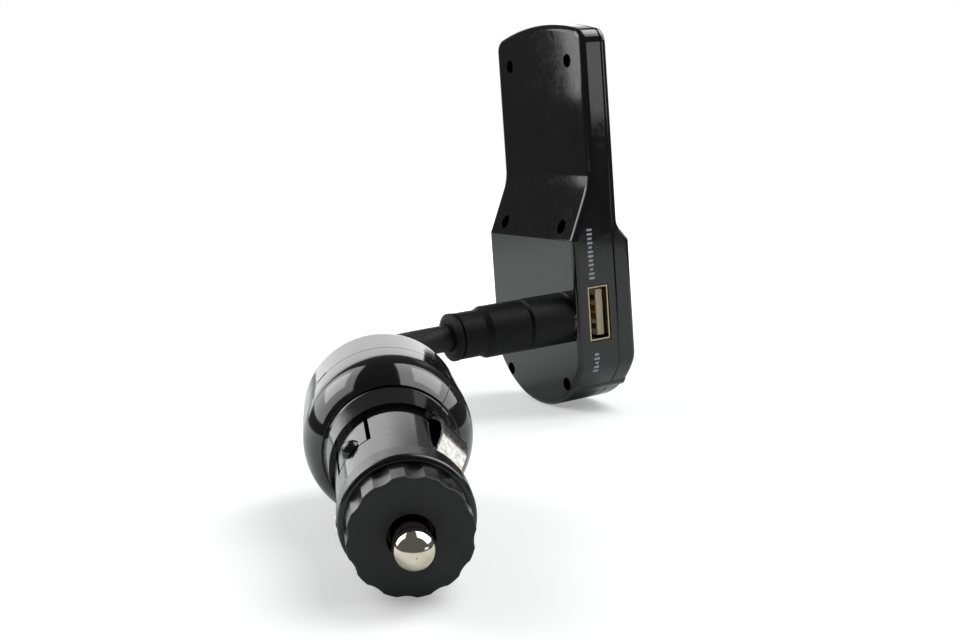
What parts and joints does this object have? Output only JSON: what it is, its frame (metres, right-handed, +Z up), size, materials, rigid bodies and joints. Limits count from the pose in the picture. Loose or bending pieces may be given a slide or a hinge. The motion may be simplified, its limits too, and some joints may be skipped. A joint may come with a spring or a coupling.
{
  "type": "car fm transmitter",
  "caption": "Car FM transmitter: a 12 V socket plug with a sprung pin and side contacts, joined by a bent gooseneck to a slim upright head with a USB socket, keys and a display.",
  "frame": {"origin": "middle of the whole part's footprint, on the surface it lies on", "axes": "+Z up, -Y the way the plug's nose points, +X to the right of it, where the head stands"},
  "size_m": [0.0816, 0.1712, 0.0946],
  "materials": {
    "gloss_black_abs": "polished moulded black",
    "matte_black_nylon": "moulded black with a matte face",
    "nickel_plate": "bright nickel plate",
    "fuse_tube": "clear tube",
    "spring_steel": "drawn wire",
    "seat_brass": "pressed sheet",
    "circuit_board": "green solder mask on glass laminate",
    "switch_case": "moulded",
    "black_pvc": "satin sleeve",
    "window_acrylic": "smoked clear",
    "display_panel": "dark display glass",
    "usb_steel": "tinned sheet",
    "usb_insert": "moulded",
    "black_screw": "black oxide",
    "key_abs": "satin moulded"
  },
  "bodies": {
    "housing": {"nose_cap": "matte_black_nylon", "pin_spring": "spring_steel", "spring_seat": "seat_brass", "plug_shell_upper": "gloss_black_abs", "plug_shell_lower": "gloss_black_abs", "side_contact_right": "nickel_plate", "side_contact_left": "nickel_plate", "plug_rear_cap": "gloss_black_abs", "plug_circuit_board": "circuit_board", "rear_shell": "gloss_black_abs", "front_shell": "gloss_black_abs", "neck_ferrule": "gloss_black_abs", "display_window": "window_acrylic", "display_module": "display_panel", "main_board": "circuit_board", "usb_shell": "usb_steel", "usb_tongue": "usb_insert", "key_switches": "switch_case", "housing_screws": "black_screw", "gooseneck": "black_pvc"},
    "plunger": {"contact_pin": "nickel_plate", "fuse_glass": "fuse_tube", "fuse_end_caps": "nickel_plate"},
    "play_key": {"play_key": "key_abs"},
    "previous_key": {"previous_key": "key_abs"},
    "next_key": {"next_key": "key_abs"},
    "channel_up_key": {"channel_up_key": "key_abs"},
    "channel_down_key": {"channel_down_key": "key_abs"}
  },
  "joints": [
    {"name": "pin_press", "type": "slide", "parent": "housing", "child": "plunger", "axis": [0, 0.9929, 0.1191], "range_m": [0, 0.003], "stiffness_N_per_m": 700, "springref_m": -0.002, "deforming": ["pin_spring"]},
    {"name": "play_key_press", "type": "slide", "parent": "housing", "child": "play_key", "axis": [-0.9282, -0.3619, -0.0866], "range_m": [0, 0.0005], "stiffness_N_per_m": 800, "springref_m": -0.0006},
    {"name": "previous_key_press", "type": "slide", "parent": "housing", "child": "previous_key", "axis": [-0.9282, -0.3619, -0.0866], "range_m": [0, 0.0005], "stiffness_N_per_m": 800, "springref_m": -0.0006},
    {"name": "next_key_press", "type": "slide", "parent": "housing", "child": "next_key", "axis": [-0.9282, -0.3619, -0.0866], "range_m": [0, 0.0005], "stiffness_N_per_m": 800, "springref_m": -0.0006},
    {"name": "channel_up_key_press", "type": "slide", "parent": "housing", "child": "channel_up_key", "axis": [-0.9282, -0.3619, -0.0866], "range_m": [0, 0.0005], "stiffness_N_per_m": 800, "springref_m": -0.0006},
    {"name": "channel_down_key_press", "type": "slide", "parent": "housing", "child": "channel_down_key", "axis": [-0.9282, -0.3619, -0.0866], "range_m": [0, 0.0005], "stiffness_N_per_m": 800, "springref_m": -0.0006}
  ]
}
